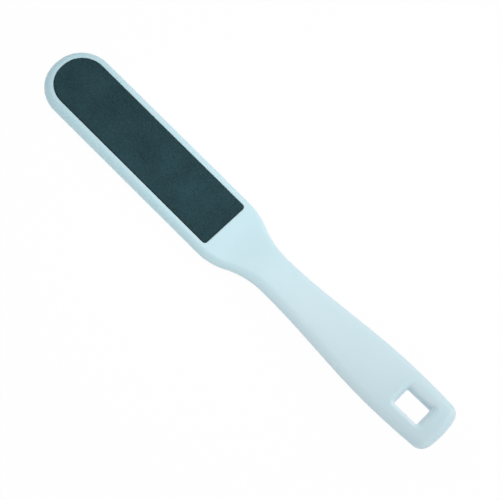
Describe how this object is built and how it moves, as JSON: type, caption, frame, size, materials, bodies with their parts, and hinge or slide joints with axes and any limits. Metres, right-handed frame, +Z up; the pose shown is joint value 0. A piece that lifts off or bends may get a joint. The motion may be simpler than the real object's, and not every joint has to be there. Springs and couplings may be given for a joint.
{
  "type": "foot file",
  "caption": "Two-sided foot file: rounded plastic paddle with a recessed abrasive pad on each face, flared handle with a rectangular hang hole.",
  "frame": {"origin": "on the surface that the file lies on, under the middle of its length and width", "axes": "+X along the file from the paddle's tip to the handle's end, +Y across it, +Z up through the front pad"},
  "size_m": [0.25, 0.0352, 0.0177],
  "materials": {
    "moulded_plastic": "satin injection-moulded polypropylene, pale icy blue-white",
    "adhesive_film": "clear yellowish acrylic transfer adhesive",
    "waterproof_paper": "dark grey latex-saturated waterproof paper",
    "coarse_grit": "dark grey-teal coarse silicon carbide grit in resin",
    "fine_grit": "dark grey-teal fine silicon carbide grit in resin"
  },
  "bodies": {
    "root": {"body": "moulded_plastic", "front_adhesive": "adhesive_film", "front_backing": "waterproof_paper", "front_grit": "coarse_grit", "rear_adhesive": "adhesive_film", "rear_backing": "waterproof_paper", "rear_grit": "fine_grit"}
  },
  "joints": []
}
